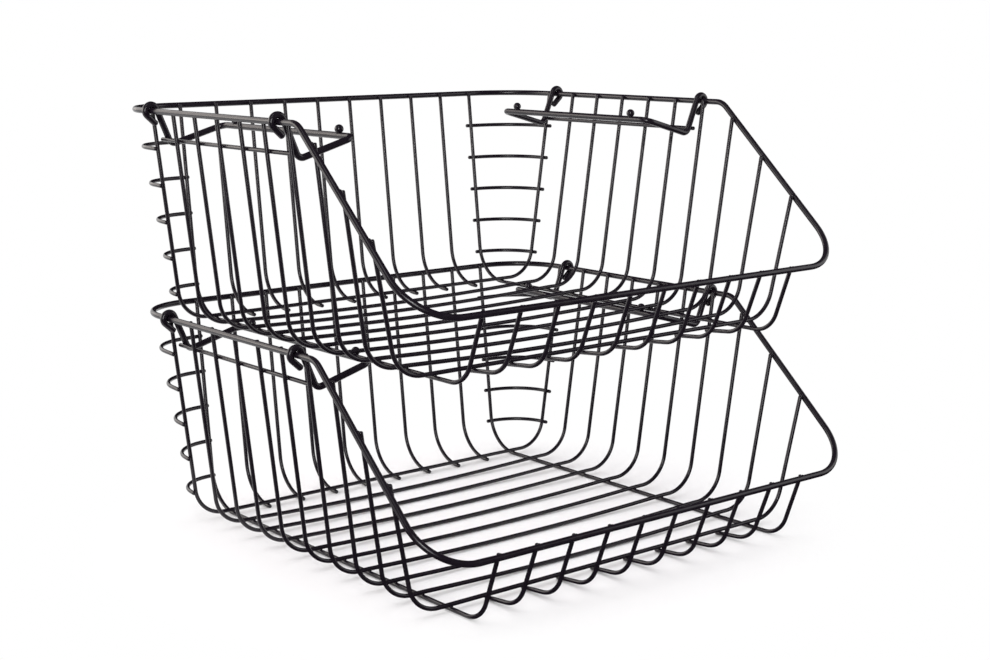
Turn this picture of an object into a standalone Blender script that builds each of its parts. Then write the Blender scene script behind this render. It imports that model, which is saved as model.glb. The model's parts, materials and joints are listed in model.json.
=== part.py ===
"""Two wire trays, one stacked on the other's swing-over brackets.

Frame: X runs side to side, the low lip faces -Y, Z is up. The origin is the
middle of the pair's footprint, on the surface that the lower tray stands on.
All lengths are in metres.
"""

import math

import bmesh
import bpy
from mathutils import Matrix, Vector

# Wires and fits
RIM_WIRE = 0.0045
MESH_WIRE = 0.0031
BAIL_WIRE = 0.0048
WELD_GAP = 0.0003
WELD_SINK = 0.0009
TIP_RISE = 0.0014
TIP_OVERHANG = 0.0035

# Rim loop, measured on the wire's centre line
RIM_WIDTH = 0.400
RIM_DEPTH = 0.3905
RIM_HEIGHT = 0.1665
LIP_HEIGHT = 0.0515
SLOPE_DEPTH = 0.128
REAR_CORNER_RADIUS = 0.047
FRONT_CORNER_RADIUS = 0.0375
SLOPE_BEND_RADIUS = 0.015

# Cross wires, side to side
CROSS_COUNT = 10
CROSS_REAR_INSET = 0.0556
CROSS_FRONT_INSET = 0.05005
CROSS_LEAN = 0.0045
FLOOR_SIDE_INSET = 0.0245
FLOOR_SIDE_RADIUS = 0.025
CROSS_SAG = 0.0028
SAG_STEPS = 8

# Wires from back to front
LENGTH_COUNT = 10
RUNNER_INSET = 0.0551
REAR_FLOOR_INSET = 0.0221
REAR_FLOOR_RADIUS = 0.0325
FRONT_FLOOR_INSET = 0.0223
FRONT_FLOOR_RADIUS = 0.022
UPRIGHT_RISE = 0.0035

# Arcs that close the rear corners
ARC_COUNT = 5
ARC_TOP_DROP = 0.0285
ARC_LOWEST = 0.0251
ARC_RADIUS = 0.040
ARC_DRAW_IN = 0.004

# Stacking brackets, called bails
STOP_DROP = 0.0215
STOP_OVERHANG = 0.0002
HOOK_SPAN_WIRES = 6
HOOK_REAR_GAP = 0.0012
HOOK_FRONT_GAP = 0.0029
HOOK_TAIL = 0.0100
HOOK_TAIL_ANGLE = math.radians(228)
LEG_LENGTH = 0.0297
BAR_DROP = 0.0128
BAR_NEST_GAP = 0.0018
ELBOW_RADIUS = 0.005
BAR_CORNER_RADIUS = 0.007
STUD_DIAMETER = 0.0064
STUD_RISE = 0.0046
STUD_REAR_GAP = 0.0066
STUD_FRONT_GAP = 0.00095

# Stack
STACK_SHIFT = 0.015

# Facets
CHORD_ERROR = 0.00025
LARGEST_TURN = math.radians(24)
MESH_WIRE_SIDES = 6
THICK_WIRE_SIDES = 8
STUD_SEGMENTS = 10
STUD_RINGS = 8
SMOOTH_ANGLE = math.radians(70)

# Coat
COAT_COLOUR = (0.012, 0.012, 0.013, 1.0)
COAT_ROUGHNESS = 0.42
COAT_METALLIC = 0.0

# Places worked out from the sizes
RIM_HALF = RIM_WIDTH / 2
LIP_Y = -(RIM_DEPTH + STACK_SHIFT) / 2
REAR_Y = LIP_Y + RIM_DEPTH
SLOPE_Y = LIP_Y + SLOPE_DEPTH
SLOPE = math.atan2(RIM_HEIGHT - LIP_HEIGHT, SLOPE_DEPTH)
RIM_SEAT = (RIM_WIRE + MESH_WIRE) / 2 + WELD_GAP
WIRE_SEAT = MESH_WIRE + WELD_GAP
FUSED_SEAT = MESH_WIRE - WELD_SINK
FLOOR_Z = MESH_WIRE / 2 * math.cos(math.pi / MESH_WIRE_SIDES)
CROSS_Z = FLOOR_Z + WIRE_SEAT
FLOOR_HALF = RIM_HALF - FLOOR_SIDE_INSET
LENGTH_HALF = RIM_HALF - RUNNER_INSET
LENGTH_PITCH = 2 * LENGTH_HALF / (LENGTH_COUNT - 1)
REAR_CROSS_Y = REAR_Y - CROSS_REAR_INSET
CROSS_PITCH = (RIM_DEPTH - CROSS_REAR_INSET - CROSS_FRONT_INSET) / (CROSS_COUNT - 1)
UPPER_CROSS_Y = REAR_CROSS_Y + CROSS_LEAN + STACK_SHIFT
HOOK_RADIUS = (RIM_WIRE + BAIL_WIRE) / 2 + WELD_GAP
REAR_HOOK_Y = REAR_CROSS_Y - (MESH_WIRE + BAIL_WIRE) / 2 - HOOK_REAR_GAP
FRONT_HOOK_SEAT = (MESH_WIRE + BAIL_WIRE) / 2 + HOOK_FRONT_GAP
FRONT_HOOK_Y = REAR_CROSS_Y - HOOK_SPAN_WIRES * CROSS_PITCH + FRONT_HOOK_SEAT
HOOK_MIDDLE_Y = (REAR_HOOK_Y + FRONT_HOOK_Y) / 2
HOOK_SPACING = REAR_HOOK_Y - FRONT_HOOK_Y
STUD_SEAT = (MESH_WIRE + STUD_DIAMETER) / 2
REAR_STUD_Y = UPPER_CROSS_Y - CROSS_PITCH - STUD_SEAT - STUD_REAR_GAP
FRONT_STUD_Y = UPPER_CROSS_Y - HOOK_SPAN_WIRES * CROSS_PITCH + STUD_SEAT + STUD_FRONT_GAP
BAR_INSET = RUNNER_INSET + (MESH_WIRE + BAIL_WIRE) / 2 + BAR_NEST_GAP


def arc_steps(radius, turn):
    """Number of straight pieces that keep an arc within the chord error."""
    widest = 2 * math.acos(1 - CHORD_ERROR / radius)
    return max(2, math.ceil(turn / min(widest, LARGEST_TURN)))


def corner_arc(before, corner, after, radius):
    """Points of the arc that rounds one corner of a route."""
    back = (before - corner).normalized()
    ahead = (after - corner).normalized()
    opening = back.angle(ahead)
    setback = radius / math.tan(opening / 2)
    centre = corner + (back + ahead).normalized() * (radius / math.sin(opening / 2))
    start = corner + back * setback - centre
    turn = math.pi - opening
    axis = -start.cross(back)
    steps = arc_steps(radius, turn)
    return [centre + Matrix.Rotation(turn * step / steps, 3, axis) @ start for step in range(steps + 1)]


def rounded_route(points, radii, closed=False):
    """A route with its corners rounded; an open route keeps its two ends sharp."""
    corners = [Vector(point) for point in points]
    if closed:
        inner = range(len(corners))
    else:
        inner = range(1, len(corners) - 1)
    route = [] if closed else [corners[0]]
    for index, radius in zip(inner, radii):
        after = corners[(index + 1) % len(corners)]
        route += corner_arc(corners[index - 1], corners[index], after, radius)
    return route if closed else route + [corners[-1]]


def wall_top(foot, rim, seat, tip):
    """Top end of a wall wire, in a plane given by (run, height) pairs.

    The wire rises from its floor corner past the inner side of the rim, at
    the seat distance from the rim's centre, and ends a tip's height above the
    centre, lower than the rim's top.
    """
    reach = rim - foot
    straight = math.sqrt(reach.length_squared - seat * seat)
    inward = math.copysign(1, reach.x) * Vector((-reach.y, reach.x))
    along = (reach * straight + inward * seat) / reach.length_squared
    return foot + along * ((rim.y + tip - foot.y) / along.y)


def tube_mesh(name, route, wire, sides, closed=False):
    """Mesh of a round wire that follows a route, with capped ends."""
    curve = bpy.data.curves.new(name, "CURVE")
    curve.dimensions = "3D"
    curve.twist_mode = "MINIMUM"
    curve.bevel_depth = wire / 2
    curve.bevel_resolution = (sides - 4) // 2
    curve.render_resolution_u = 0
    curve.use_fill_caps = not closed
    spline = curve.splines.new("POLY")
    spline.points.add(len(route) - 1)
    for point, place in zip(spline.points, route):
        point.co = (*place, 1)
    spline.use_cyclic_u = closed
    guide = bpy.data.objects.new(name, curve)
    bpy.context.scene.collection.objects.link(guide)
    mesh = evaluated_mesh(guide, name)
    bpy.data.objects.remove(guide)
    bpy.data.curves.remove(curve)
    return mesh


def evaluated_mesh(guide, name):
    """Mesh of an object as its modifiers and curve settings leave it."""
    bpy.context.view_layer.update()
    graph = bpy.context.evaluated_depsgraph_get()
    mesh = bpy.data.meshes.new_from_object(guide.evaluated_get(graph))
    mesh.name = name
    return mesh


def merged_mesh(name, meshes):
    """One mesh that holds several separate bodies."""
    build = bmesh.new()
    for mesh in meshes:
        build.from_mesh(mesh)
    merged = bpy.data.meshes.new(name)
    build.to_mesh(merged)
    build.free()
    return merged


def boolean_mesh(name, body, tool, operation):
    """Mesh of one body joined with, or cut by, another."""
    guides = [bpy.data.objects.new(name + "_body", body), bpy.data.objects.new(name + "_tool", tool)]
    for guide in guides:
        bpy.context.scene.collection.objects.link(guide)
    modifier = guides[0].modifiers.new(operation.lower(), "BOOLEAN")
    modifier.operation = operation
    modifier.solver = "EXACT"
    modifier.object = guides[1]
    mesh = evaluated_mesh(guides[0], name)
    for guide in guides:
        bpy.data.objects.remove(guide)
    return mesh


def coat_material(name):
    """Satin black powder coat for one piece."""
    material = bpy.data.materials.new(name + "_coat")
    material.use_nodes = True
    shader = material.node_tree.nodes["Principled BSDF"]
    shader.inputs["Base Color"].default_value = COAT_COLOUR
    shader.inputs["Roughness"].default_value = COAT_ROUGHNESS
    shader.inputs["Metallic"].default_value = COAT_METALLIC
    return material


def add_piece(name, mesh, parent):
    """One named piece, shaded smooth, hung on its parent."""
    mesh.materials.clear()
    mesh.materials.append(coat_material(name))
    mesh.shade_smooth()
    mesh.set_sharp_from_angle(angle=SMOOTH_ANGLE)
    piece = bpy.data.objects.new(name, mesh)
    bpy.context.scene.collection.objects.link(piece)
    piece.parent = parent
    return piece


def add_empty(name, location, parent=None):
    """An empty that carries the pieces of one moving group."""
    empty = bpy.data.objects.new(name, None)
    bpy.context.scene.collection.objects.link(empty)
    empty.location = location
    empty.parent = parent
    return empty


def rim_route():
    """Closed route of the rim, drawn anticlockwise from the rear left corner."""
    half = [
        (-RIM_HALF, REAR_Y, RIM_HEIGHT),
        (-RIM_HALF, SLOPE_Y, RIM_HEIGHT),
        (-RIM_HALF, LIP_Y, LIP_HEIGHT),
    ]
    radii = [REAR_CORNER_RADIUS, SLOPE_BEND_RADIUS, FRONT_CORNER_RADIUS]
    other = [(-x, y, z) for x, y, z in reversed(half)]
    return rounded_route(half + other, radii + radii[::-1], closed=True)


def cross_route(index):
    """Route of one side-to-side wire, counted from the back."""
    top_y = REAR_CROSS_Y - index * CROSS_PITCH
    floor_y = top_y + CROSS_LEAN
    rim_z = min(RIM_HEIGHT, LIP_HEIGHT + (top_y - LIP_Y) * math.tan(SLOPE))
    foot = Vector((FLOOR_HALF, CROSS_Z))
    top = wall_top(foot, Vector((RIM_HALF, rim_z)), RIM_SEAT, TIP_RISE)
    left = [(-top.x, top_y, top.y), (-foot.x, floor_y, foot.y)]
    right = [(-x, y, z) for x, y, z in reversed(left)]
    route = rounded_route(left + right, [FLOOR_SIDE_RADIUS] * 2)
    if 0 < index < CROSS_COUNT - 1:
        middle = len(route) // 2
        route[middle:middle] = sagging(floor_y)
    return route


def sagging(y):
    """Points of a cross wire's floor part, which sags from runner to runner."""
    places = [LENGTH_HALF * (2 * step / SAG_STEPS - 1) for step in range(SAG_STEPS + 1)]
    return [Vector((x, y, CROSS_Z - CROSS_SAG * (1 - (x / LENGTH_HALF) ** 2))) for x in places]


def length_x(index):
    """Place across the tray of one back-to-front wire, counted from the left."""
    return index * LENGTH_PITCH - LENGTH_HALF


def rear_wall(x, floor_z):
    """Top end and floor corner of a back-to-front wire at the rear."""
    foot = Vector((REAR_Y - REAR_FLOOR_INSET, floor_z))
    top = wall_top(foot, Vector((REAR_Y, RIM_HEIGHT)), RIM_SEAT, TIP_RISE)
    return Vector((x, *top)), Vector((x, *foot))


def front_wall(x, floor_z):
    """Floor corner and top end of a back-to-front wire at the lip."""
    foot = Vector((LIP_Y + FRONT_FLOOR_INSET, floor_z))
    top = wall_top(foot, Vector((LIP_Y, LIP_HEIGHT)), RIM_SEAT, TIP_RISE)
    return Vector((x, *foot)), Vector((x, *top))


def runner_route(x):
    """Route of an outermost wire, from the back rim under the floor to the lip."""
    top, rear = rear_wall(x, FLOOR_Z)
    front, lip = front_wall(x, FLOOR_Z)
    return rounded_route([top, rear, front, lip], [REAR_FLOOR_RADIUS, FRONT_FLOOR_RADIUS])


def rear_wire_route(x):
    """Route of a rear wire, from the back rim to just past the rearmost cross wire."""
    top, rear = rear_wall(x, FLOOR_Z)
    tip_y = REAR_CROSS_Y + CROSS_LEAN - TIP_OVERHANG
    return rounded_route([top, rear, (x, tip_y, FLOOR_Z)], [REAR_FLOOR_RADIUS])


def upright_route(x):
    """Route of a front upright, from just behind the foremost cross wire to the lip.

    Its floor leg rises a little toward the front.
    """
    floor_z = CROSS_Z - FUSED_SEAT
    front, lip = front_wall(x, floor_z + UPRIGHT_RISE)
    tip_y = LIP_Y + CROSS_FRONT_INSET + CROSS_LEAN + TIP_OVERHANG
    return rounded_route([(x, tip_y, floor_z), front, lip], [FRONT_FLOOR_RADIUS])


def crossing(route, height):
    """First point of a falling route at a height, and the cosine of its lean there."""
    for above, below in zip(route, route[1:]):
        if above.z >= height > below.z:
            share = (above.z - height) / (above.z - below.z)
            return above.lerp(below, share), (above.z - below.z) / (above - below).length
    raise ValueError("the route never falls to this height")


def corner_arc_route(side, index, runner, rear_cross):
    """Route of one horizontal arc round a rear corner."""
    highest = RIM_HEIGHT - ARC_TOP_DROP
    height = highest - index * (highest - ARC_LOWEST) / (ARC_COUNT - 1)
    at_runner, runner_lean = crossing(runner, height)
    at_cross, cross_lean = crossing(rear_cross, height)
    back_y = at_runner.y + FUSED_SEAT / runner_lean
    side_x = side * (abs(at_cross.x) + WIRE_SEAT / cross_lean)
    inner = (at_runner.x - side * TIP_OVERHANG, back_y, height)
    front = (side_x, at_cross.y - TIP_OVERHANG, height)
    corner = (side_x - side * ARC_DRAW_IN, back_y - ARC_DRAW_IN, height)
    radius = min(ARC_RADIUS, abs(side_x - at_runner.x), back_y - at_cross.y)
    return rounded_route([inner, corner, front], [radius])


def stop_inset():
    """Distance of the stop wires inside the rim, resting on the wall wires' inner side."""
    foot = Vector((FLOOR_HALF, CROSS_Z))
    top = wall_top(foot, Vector((RIM_HALF, RIM_HEIGHT)), RIM_SEAT, 0)
    wall = top - foot
    wall_x = foot.x + wall.x * (RIM_HEIGHT - STOP_DROP - foot.y) / wall.y
    return RIM_HALF - wall_x + WIRE_SEAT * wall.length / wall.y


def bail_lean():
    """Lean of a bail's legs from upright, where they rest against the stop wire."""
    stop = Vector((stop_inset(), STOP_DROP))
    rest = (BAIL_WIRE + MESH_WIRE) / 2 + WELD_GAP
    return math.acos((HOOK_RADIUS - rest) / stop.length) - math.atan2(stop.y, stop.x)


def hook_profile():
    """Tail and hook of a bail as (inset, height) points from the rim's centre.

    The points run from the tail's end up outside the rim, over it, and down
    to the top of the leg inside it.
    """
    start = HOOK_TAIL_ANGLE
    turn = start - bail_lean()
    steps = arc_steps(HOOK_RADIUS, turn)
    angles = [start - turn * step / steps for step in range(steps + 1)]
    ring = [Vector((math.cos(angle), math.sin(angle))) * HOOK_RADIUS for angle in angles]
    tail = ring[0] + Vector((-math.sin(start), math.cos(start))) * HOOK_TAIL
    return [tail] + ring


def elbow_profile():
    """Elbow of a bail as an (inset, height) point from the rim's centre."""
    lean = bail_lean()
    top = Vector((math.cos(lean), math.sin(lean))) * HOOK_RADIUS
    return top + Vector((math.sin(lean), -math.cos(lean))) * LEG_LENGTH


def stack_rise():
    """Height of the upper tray above the lower one.

    The upper tray's runners rest on the arms of the lower bails, just outside
    the crossbars, and touch them at the inner edge of their flat underside.
    """
    elbow = elbow_profile()
    climb = math.atan2(-BAR_DROP - elbow.y, BAR_INSET - elbow.x)
    runner_edge = RUNNER_INSET + MESH_WIRE / 2 * math.sin(math.pi / MESH_WIRE_SIDES)
    arm_drop = BAR_DROP + (BAR_INSET - runner_edge) * math.tan(climb)
    return RIM_HEIGHT - arm_drop + BAIL_WIRE / 2 / math.cos(climb) + WELD_GAP


def bail_route(side):
    """Route of a bail in its pivot's frame: two hooks, legs, arms and a crossbar."""
    half = HOOK_SPACING / 2
    hook = [Vector((-side * point.x, half, point.y)) for point in hook_profile()]
    elbow = elbow_profile()
    rear = [hook[-1], (-side * elbow.x, half, elbow.y), (-side * BAR_INSET, half, -BAR_DROP)]
    front = [(x, -y, z) for x, y, z in reversed(rear)]
    radii = [ELBOW_RADIUS, BAR_CORNER_RADIUS, BAR_CORNER_RADIUS, ELBOW_RADIUS]
    other_hook = [Vector((x, -y, z)) for x, y, z in reversed(hook)]
    return hook[:-1] + rounded_route(rear + front, radii) + other_hook[1:]


def stud_mesh(name, side, y):
    """Ball stud on a crossbar, in its pivot's frame, saddled to the bar."""
    bar = Vector((-side * BAR_INSET, y, -BAR_DROP))
    build = bmesh.new()
    centre = Matrix.Translation(bar + Vector((0, 0, STUD_RISE)))
    bmesh.ops.create_uvsphere(
        build, u_segments=STUD_SEGMENTS, v_segments=STUD_RINGS, radius=STUD_DIAMETER / 2, matrix=centre)
    ball = bpy.data.meshes.new(name)
    build.to_mesh(ball)
    build.free()
    reach = Vector((0, STUD_DIAMETER, 0))
    ends = [bar - reach, bar + reach]
    saddle = tube_mesh(name + "_saddle", ends, BAIL_WIRE + 2 * WELD_GAP, THICK_WIRE_SIDES)
    return boolean_mesh(name, ball, saddle, "DIFFERENCE")


def add_mesh_wires(prefix, tray):
    """Cross wires, rear wires, runners with their corner arcs, and the front comb."""
    crosses = [cross_route(index) for index in range(CROSS_COUNT)]
    for index, route in enumerate(crosses[:-1], start=1):
        name = f"{prefix}_cross_wire_{index}"
        add_piece(name, tube_mesh(name, route, MESH_WIRE, MESH_WIRE_SIDES), tray)

    name = f"{prefix}_front_comb"
    inner = [length_x(index) for index in range(1, LENGTH_COUNT - 1)]
    uprights = [tube_mesh(name, upright_route(x), MESH_WIRE, MESH_WIRE_SIDES) for x in inner]
    foremost = tube_mesh(name, crosses[-1], MESH_WIRE, MESH_WIRE_SIDES)
    add_piece(name, boolean_mesh(name, foremost, merged_mesh(name, uprights), "UNION"), tray)

    for index, x in enumerate(inner, start=1):
        name = f"{prefix}_rear_wire_{index}"
        add_piece(name, tube_mesh(name, rear_wire_route(x), MESH_WIRE, MESH_WIRE_SIDES), tray)

    for side, word in ((-1, "left"), (1, "right")):
        name = f"{prefix}_{word}_runner"
        runner = runner_route(side * LENGTH_HALF)
        bends = [corner_arc_route(side, index, runner, crosses[0]) for index in range(ARC_COUNT)]
        arcs = [tube_mesh(name, bend, MESH_WIRE, MESH_WIRE_SIDES) for bend in bends]
        body = tube_mesh(name, runner, MESH_WIRE, MESH_WIRE_SIDES)
        add_piece(name, boolean_mesh(name, body, merged_mesh(name, arcs), "UNION"), tray)


def add_bail(prefix, side, word, tray):
    """One stop wire, with the bail that rests on it and the bail's two ball studs."""
    name = f"{prefix}_{word}_stop_wire"
    reach = BAIL_WIRE / 2 + STOP_OVERHANG
    x = side * (RIM_HALF - stop_inset())
    z = RIM_HEIGHT - STOP_DROP
    route = [Vector((x, REAR_HOOK_Y + reach, z)), Vector((x, FRONT_HOOK_Y - reach, z))]
    add_piece(name, tube_mesh(name, route, MESH_WIRE, MESH_WIRE_SIDES), tray)

    pivot = add_empty(f"{prefix}_{word}_pivot", (side * RIM_HALF, HOOK_MIDDLE_Y, RIM_HEIGHT), tray)
    name = f"{prefix}_{word}_bail"
    add_piece(name, tube_mesh(name, bail_route(side), BAIL_WIRE, THICK_WIRE_SIDES), pivot)
    for place, y in (("rear", REAR_STUD_Y), ("front", FRONT_STUD_Y)):
        name = f"{prefix}_{word}_{place}_stud"
        add_piece(name, stud_mesh(name, side, y - HOOK_MIDDLE_Y), pivot)


def add_tray(prefix, location):
    """One whole tray with its two bails."""
    tray = add_empty(f"{prefix}_tray", location)
    name = f"{prefix}_rim"
    add_piece(name, tube_mesh(name, rim_route(), RIM_WIRE, THICK_WIRE_SIDES, closed=True), tray)
    add_mesh_wires(prefix, tray)
    for side, word in ((-1, "left"), (1, "right")):
        add_bail(prefix, side, word, tray)


def main():
    for old in list(bpy.data.objects):
        bpy.data.objects.remove(old)
    add_tray("lower", (0, 0, 0))
    add_tray("upper", (0, STACK_SHIFT, stack_rise()))
    bpy.context.view_layer.update()


main()
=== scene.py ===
"""The look of two wire trays, one stacked on the other's swing-over brackets.

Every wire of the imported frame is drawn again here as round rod: fed out
straight, bent round its corners, cut off with softened ends, welded where it
crosses another, and coated satin black. Lengths are in metres. X runs side to
side, the low lips face -Y, and the lower tray stands on Z = 0.
"""

import json
import math

import bmesh
import bpy
from bpy.props import FloatProperty, FloatVectorProperty, IntProperty, PointerProperty
from mathutils import Matrix, Vector
from mathutils.geometry import intersect_line_line


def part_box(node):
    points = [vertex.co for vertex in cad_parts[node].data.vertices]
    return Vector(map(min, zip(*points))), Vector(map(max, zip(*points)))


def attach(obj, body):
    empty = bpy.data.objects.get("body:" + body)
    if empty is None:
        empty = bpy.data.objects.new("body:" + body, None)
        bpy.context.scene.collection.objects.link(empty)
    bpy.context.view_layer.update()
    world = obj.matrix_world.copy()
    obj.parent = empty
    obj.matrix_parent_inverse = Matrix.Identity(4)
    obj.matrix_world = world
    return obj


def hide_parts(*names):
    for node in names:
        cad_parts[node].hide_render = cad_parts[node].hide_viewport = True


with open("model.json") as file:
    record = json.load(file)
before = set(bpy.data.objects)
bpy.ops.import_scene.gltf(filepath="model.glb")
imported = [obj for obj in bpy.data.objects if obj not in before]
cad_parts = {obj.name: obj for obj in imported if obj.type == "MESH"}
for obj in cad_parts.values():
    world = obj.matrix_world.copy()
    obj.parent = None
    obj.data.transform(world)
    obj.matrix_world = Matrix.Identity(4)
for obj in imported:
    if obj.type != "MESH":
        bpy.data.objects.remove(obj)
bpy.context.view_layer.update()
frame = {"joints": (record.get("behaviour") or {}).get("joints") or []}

bl_info = {
    "name": "Wire Stacking Tray",
    "version": (1, 0, 0),
    "blender": (4, 5, 0),
    "location": "3D View > Sidebar > Wire Tray",
    "description": "Bends, welds and coats a stack of two open-front wire trays",
    "category": "Add Mesh",
}

# Places that the frame gives, and the two trays and two sides that every loop goes through
HINGES = {joint["name"]: Vector(joint["pos_m"]) for joint in frame["joints"] if "pos_m" in joint}
HINGE = HINGES["lower_right_bail_swing"]
STACK_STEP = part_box("upper_rim")[0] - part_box("lower_rim")[0]
TRAYS = {"lower": Vector((0, 0, 0)), "upper": STACK_STEP}
SIDES = {"left": -1, "right": 1}
UP = Vector((0, 0, 1))

# Fineness of the round forms
CHORD_ERROR = 0.00002
WIDEST_STEP = math.radians(7.5)
MESH_SIDES = 20
THICK_SIDES = 28
SHARP_ANGLE = math.radians(50)
FEWEST_STEPS = 2
END_SEGMENTS = 3
BALL_RINGS = 20
BALL_SEGMENTS = 32
BEAD_SEGMENTS = 8
BEAD_RINGS = 5
MERGE_DISTANCE = CHORD_ERROR / 10

# Neck of a ball stud, as shares of the neck's radius and the crossbar's
NECK_PROFILE = ((0.98, 1.02), (1.06, 0.94), (1.30, 0.84), (1.30, 0.45))

# Weld beads, as shares of the thinner wire
WELD_REACH = 1.15
BEAD_SIZE = 0.46
BEAD_FLATNESS = 0.62
WELD_SPACING = 0.010

# Coat: where its clouds begin and end, and how far they change its roughness
CLOUD_LIMITS = (0.40, 0.75)
CLOUD_MEAN = 0.5
CLOUD_ROUGHNESS = 0.08
CLOUD_DETAIL = 2.0
PEEL_DETAIL = 1.5
NOISE_ROUGHNESS = 0.5
COAT_IOR = 1.45

# Paper, and the distances from the middle between which its shadows fade into the white
WHITE = (1.0, 1.0, 1.0, 1.0)
PAPER_HALF = 3.0
SHADOW_FADE = (0.17, 0.31)

# Cards that only reflections show. Black ones keep the room's white out of the wires, and
# bright ones draw light lines along them. Each has a profile of distances from the middle
# and heights, the degrees where it starts, and those that it is spun round the trays.
CARDS = {
    "floor_card": (((0.05, 0.002), (1.3, 0.002)), 173, 195),
    "black_card": (((1.2, 0.003), (2.0, 0.003), (2.0, 1.8)), 173, 137),
    "rear_card": (((1.2, 0.003), (2.0, 0.003), (2.0, 1.8)), 8, 67),
    "front_card": (((1.9, 0.15), (1.9, 1.1)), 213, 24),
    "right_card": (((1.25, 0.01), (1.25, 0.9)), 311.5, 27),
}
BLACK_CARDS = ("floor_card", "black_card", "rear_card")
BRIGHT_CARDS = ("front_card", "right_card")
MATT_BLACK = (0.01, 0.01, 0.01, 1.0)
CARD_STEPS = 24

# Black card overhead
CEILING_RADIUS = 2.3
CEILING_HEIGHT = 1.75
CEILING_SIDES = 48

# Lamps: place, point aimed at, width and height, and colour
LAMPS = {
    "top": ((0.1, 0.35, 1.7), (0, 0, 0.1), (2.4, 2.4), (1.0, 0.99, 0.98)),
    "side": ((-1.45, 1.25, 0.6), (0, 0, 0.2), (1.1, 0.8), (1.0, 0.94, 0.85)),
    "back": ((-0.7, 1.9, 0.9), (0, 0, 0.15), (1.5, 1.2), (1.0, 0.90, 0.82)),
    "slope": ((-0.72, -0.35, 1.4), (0, 0, 0.2), (0.4, 0.7), (1.0, 1.0, 1.0)),
    "front": ((-0.80, -1.05, 0.75), (0, 0, 0.15), (0.10, 0.10), (1.0, 1.0, 1.0)),
}
UNMIRRORED_LAMP = "top"

# Camera
SENSOR_WIDTH = 36.0
CLIP_NEAR, CLIP_FAR = 0.05, 50.0


def setting(kind, **traits):
    """Makes settings of one kind, which differ in name, description and default."""
    return lambda name, description, default: kind(
        name=name, description=description, default=default, **traits)


length = setting(FloatProperty, unit="LENGTH")
angle = setting(FloatProperty, subtype="ANGLE")
power = setting(FloatProperty, unit="POWER")
strength = setting(FloatProperty, min=0.0)
paint = setting(FloatVectorProperty, size=4, min=0.0, max=1.0, subtype="COLOR")


class WireSettings(bpy.types.PropertyGroup):
    """Gauges of the wires, and how they meet."""
    rim_wire: length("Rim Wire", "Diameter of the rim's wire", 0.0045)
    mesh_wire: length("Mesh Wire", "Diameter of the wall and floor wires", 0.0031)
    bracket_wire: length("Bracket Wire", "Diameter of the brackets' rod", 0.0048)
    rest_gap: length("Rest Gap", "Space between parts that rest on each other", 0.0001)
    tip_rise: length("Tip Rise", "How far wall wires pass the middle of the rim", 0.0014)
    tip_overhang: length("Tip Overhang", "How far a wire runs on past its last weld", 0.0035)
    arc_sink: length("Arc Sink", "Depth by which corner arcs sink into the runners", 0.0005)
    end_softness: FloatProperty(
        name="End Softness", description="Rounding of a cut end, as a share of the wire",
        default=0.3, min=0.0, max=0.45, subtype="FACTOR")


class BasketSettings(bpy.types.PropertyGroup):
    """Shape of one tray without its brackets."""
    rim_width: length("Rim Width", "Side to side between the rim's centre lines", 2 * HINGE.x)
    rim_depth: length("Rim Depth", "Front to back between the rim's centre lines", 0.3905)
    rim_height: length("Rim Height", "Height of the rim's centre line", HINGE.z)
    lip_height: length("Lip Height", "Height of the low front lip's centre line", 0.0515)
    slope_depth: length("Slope Depth", "Front to back length of the sloping rim", 0.128)
    rear_corner: length("Rear Corner", "Radius of the rim's rear corners", 0.047)
    front_corner: length("Front Corner", "Radius of the lip's corners", 0.0375)
    slope_bend: length("Slope Bend", "Radius where the rim starts to fall", 0.015)
    cross_count: IntProperty(
        name="Cross Wires", description="Number of wires from side to side", default=10, min=2)
    cross_rear_inset: length("Cross Rear Inset", "Rear rim to the rearmost cross wire", 0.0556)
    cross_front_inset: length("Cross Front Inset", "Lip to the foremost cross wire", 0.05005)
    cross_lean: length(
        "Cross Lean", "How far the cross wires' floor lies behind their tips", 0.0045)
    side_inset: length("Side Inset", "How far the side walls draw in at the floor", 0.0245)
    side_bend: length("Side Bend", "Radius of the cross wires' bends", 0.025)
    cross_sag: length(
        "Cross Sag", "How far the middle of a cross wire hangs below its ends' welds", 0.0028)
    sag_bend: length("Sag Bend", "Radius where a cross wire starts to sag", 0.2)
    length_count: IntProperty(
        name="Lengthwise Wires", description="Number of wires from back to front",
        default=10, min=4)
    runner_inset: length("Runner Inset", "Side rim to the outermost lengthwise wire", 0.0551)
    rear_inset: length("Rear Inset", "How far the rear wall draws in at the floor", 0.0221)
    rear_bend: length("Rear Bend", "Radius of the rear wires' bends", 0.0325)
    front_inset: length("Front Inset", "How far the front wall draws in at the floor", 0.0223)
    front_bend: length("Front Bend", "Radius of the uprights' bends", 0.022)
    upright_rise: length(
        "Upright Rise", "How far the uprights' floor legs rise toward the front", 0.0035)
    arc_count: IntProperty(
        name="Corner Arcs", description="Number of arcs round each rear corner", default=5, min=2)
    arc_top_drop: length("Top Arc Drop", "Rim down to the highest corner arc", 0.0285)
    arc_lowest: length("Lowest Arc", "Height of the lowest corner arc", 0.0251)
    arc_bend: length("Arc Bend", "Largest radius of the corner arcs", 0.040)
    arc_draw_in: length(
        "Arc Draw-In", "How far the corner arcs are drawn in from a square corner", 0.004)


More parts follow.
